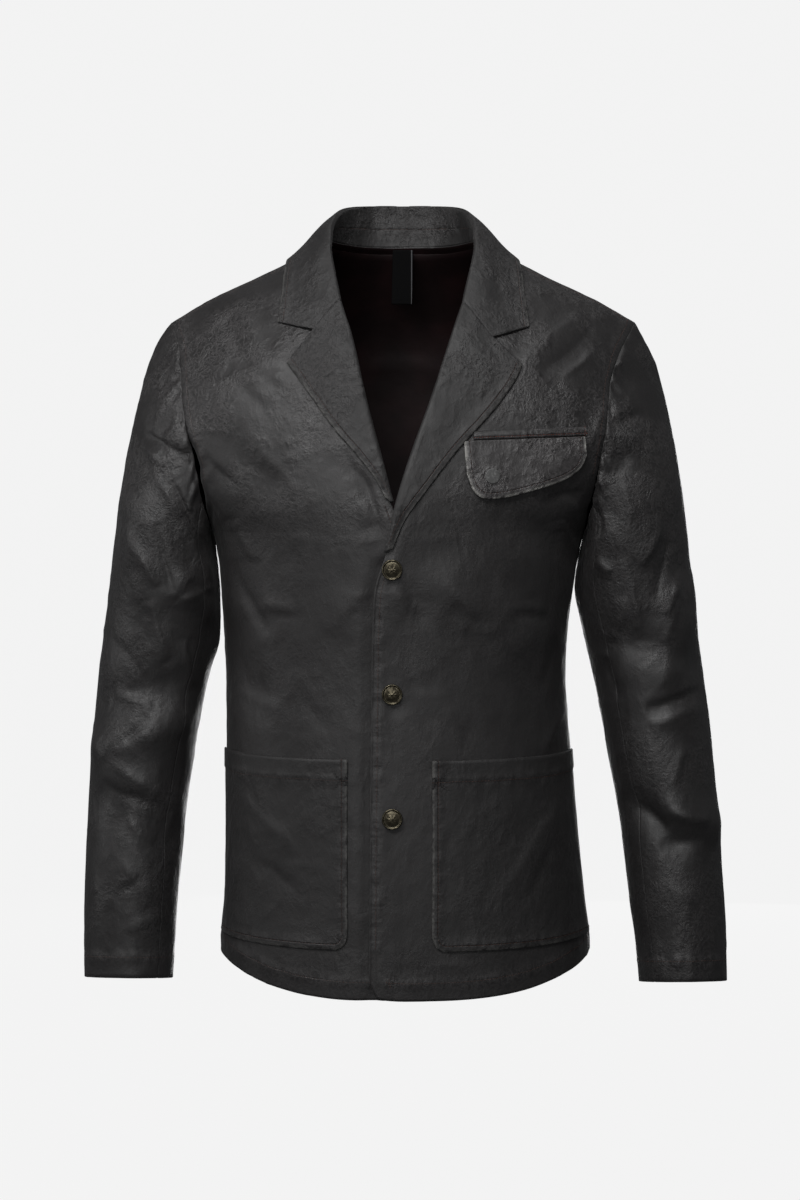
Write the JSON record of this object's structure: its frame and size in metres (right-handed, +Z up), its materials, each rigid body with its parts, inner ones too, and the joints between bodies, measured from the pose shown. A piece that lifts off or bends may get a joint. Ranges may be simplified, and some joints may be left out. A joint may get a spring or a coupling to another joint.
{
  "type": "blazer",
  "caption": "Single-breasted blazer with notch lapels, patch pockets and a slanting chest flap, filled out as worn and open at neck, hem and cuffs.",
  "frame": {"origin": "midway between the two neck points of the shoulder seams, where the garment hangs on the wearer's shoulders", "axes": "+X to the wearer's left, -Y out of the front, +Z up along the body"},
  "size_m": [0.6385, 0.2761, 0.7778],
  "materials": {
    "coated_cloth": "near-black coated cotton with a dull leather-like sheen",
    "lining": "very dark maroon satin lining",
    "antique_brass": "aged, satin",
    "snap_metal": "dark lacquered snap cap",
    "label_tape": "plain black woven tape"
  },
  "bodies": {
    "root": {"front_right": "coated_cloth", "front_left": "coated_cloth", "back": "coated_cloth", "sleeve_top_right": "coated_cloth", "sleeve_top_left": "coated_cloth", "sleeve_under_right": "coated_cloth", "sleeve_under_left": "coated_cloth", "collar_fall": "coated_cloth", "collar_stand": "coated_cloth", "lapel_right": "coated_cloth", "lapel_left": "coated_cloth", "patch_pocket_right": "coated_cloth", "patch_pocket_left": "coated_cloth", "chest_welt": "coated_cloth", "chest_flap": "coated_cloth", "back_lining": "lining", "neck_label": "label_tape", "flap_snap": "snap_metal", "button_1": "antique_brass", "button_2": "antique_brass", "button_3": "antique_brass"}
  },
  "joints": []
}
